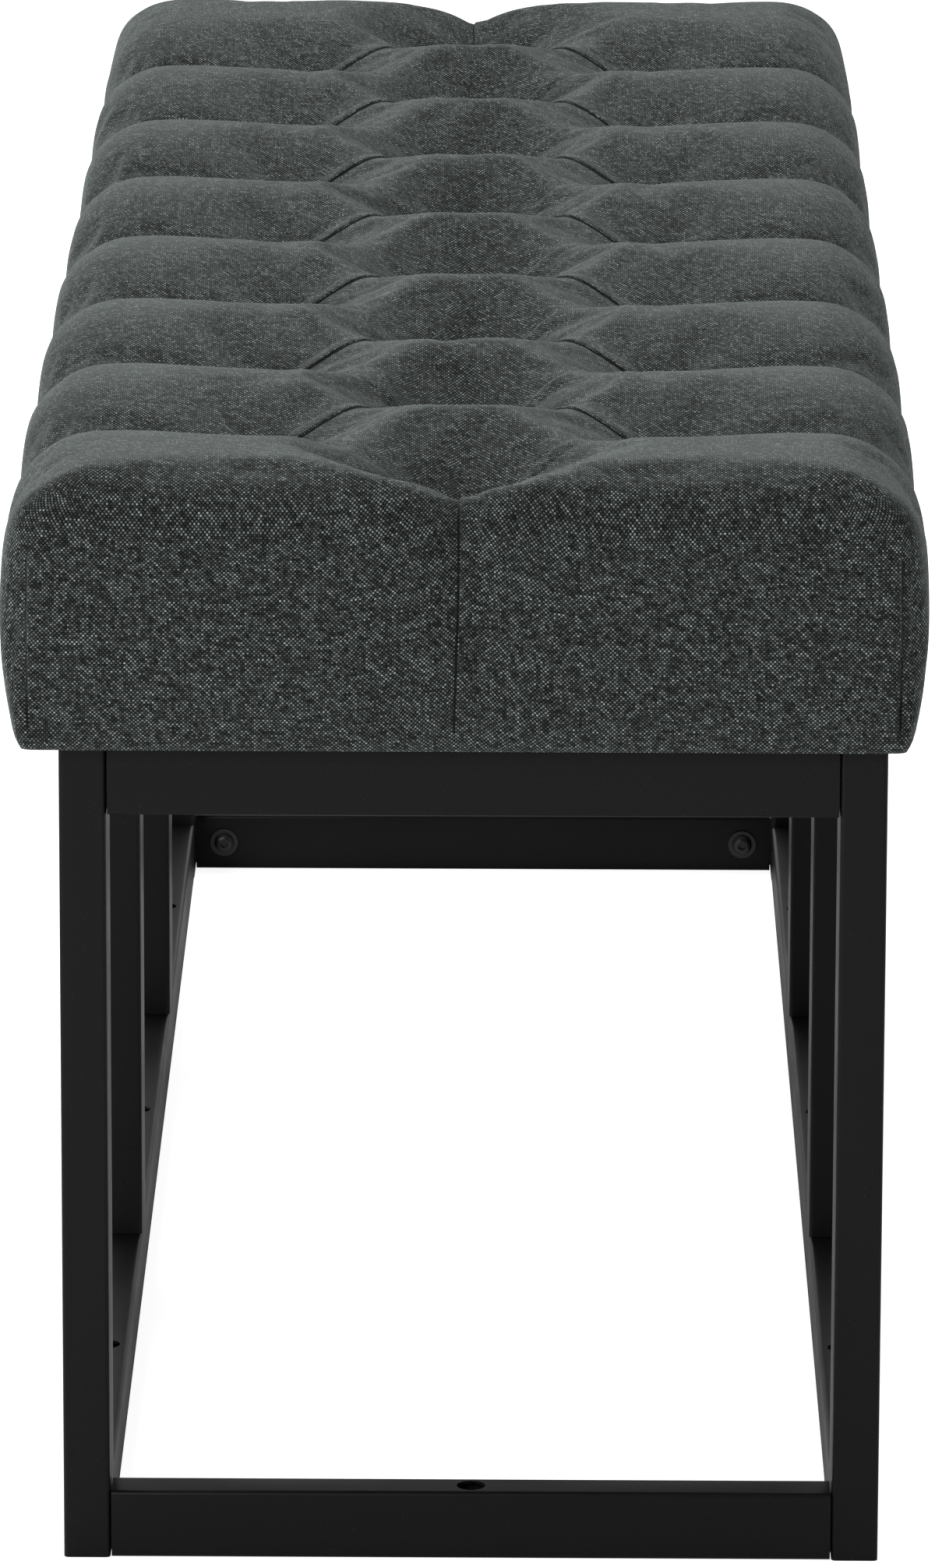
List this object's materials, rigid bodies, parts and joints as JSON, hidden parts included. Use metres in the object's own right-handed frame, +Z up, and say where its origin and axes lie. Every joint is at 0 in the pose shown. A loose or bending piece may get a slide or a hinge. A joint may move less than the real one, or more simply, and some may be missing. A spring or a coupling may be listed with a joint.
{
  "type": "entryway bench",
  "caption": "Low upholstered bench: tufted fabric seat on an open frame of black rectangular steel tube, legs along each side joined by top and bottom rails.",
  "frame": {"origin": "on the floor under the middle of the bench", "axes": "+Y along the length of the bench, +X across it, +Z up"},
  "size_m": [0.39, 1.188, 0.4765],
  "materials": {
    "powder_coat": "satin black powder coat on steel tube, fine texture",
    "black_bolt": "black oxide, satin",
    "zinc_steel": "zinc plated",
    "plywood": "raw plywood, sanded",
    "foam": "open-cell foam",
    "woven_fabric": "coarse plain weave in dark grey-green yarns with light flecks, matt",
    "dust_cloth": "black non-woven cloth, matt"
  },
  "bodies": {
    "root": {"leg_left_1": "powder_coat", "leg_left_2": "powder_coat", "leg_left_3": "powder_coat", "leg_left_4": "powder_coat", "long_rail_left_bottom": "powder_coat", "long_rail_left_top": "powder_coat", "leg_right_1": "powder_coat", "leg_right_2": "powder_coat", "leg_right_3": "powder_coat", "leg_right_4": "powder_coat", "long_rail_right_bottom": "powder_coat", "long_rail_right_top": "powder_coat", "cross_rail_near_bottom": "powder_coat", "cross_rail_near_top": "powder_coat", "cross_rail_far_bottom": "powder_coat", "cross_rail_far_top": "powder_coat", "stub_left_near_bottom": "powder_coat", "bolt_left_near_bottom": "black_bolt", "washer_left_near_bottom": "black_bolt", "stub_right_near_bottom": "powder_coat", "bolt_right_near_bottom": "black_bolt", "washer_right_near_bottom": "black_bolt", "stub_left_near_top": "powder_coat", "bolt_left_near_top": "black_bolt", "washer_left_near_top": "black_bolt", "stub_right_near_top": "powder_coat", "bolt_right_near_top": "black_bolt", "washer_right_near_top": "black_bolt", "stub_left_far_bottom": "powder_coat", "bolt_left_far_bottom": "black_bolt", "washer_left_far_bottom": "black_bolt", "stub_right_far_bottom": "powder_coat", "bolt_right_far_bottom": "black_bolt", "washer_right_far_bottom": "black_bolt", "stub_left_far_top": "powder_coat", "bolt_left_far_top": "black_bolt", "washer_left_far_top": "black_bolt", "stub_right_far_top": "powder_coat", "bolt_right_far_top": "black_bolt", "washer_right_far_top": "black_bolt", "seat_screw_left_1": "zinc_steel", "seat_screw_left_2": "zinc_steel", "seat_screw_left_3": "zinc_steel", "seat_screw_right_1": "zinc_steel", "seat_screw_right_2": "zinc_steel", "seat_screw_right_3": "zinc_steel", "seat_screw_near": "zinc_steel", "seat_screw_far": "zinc_steel", "seat_board": "plywood", "foam_pad": "foam", "seat_cover": "woven_fabric", "dust_cloth": "dust_cloth"}
  },
  "joints": []
}
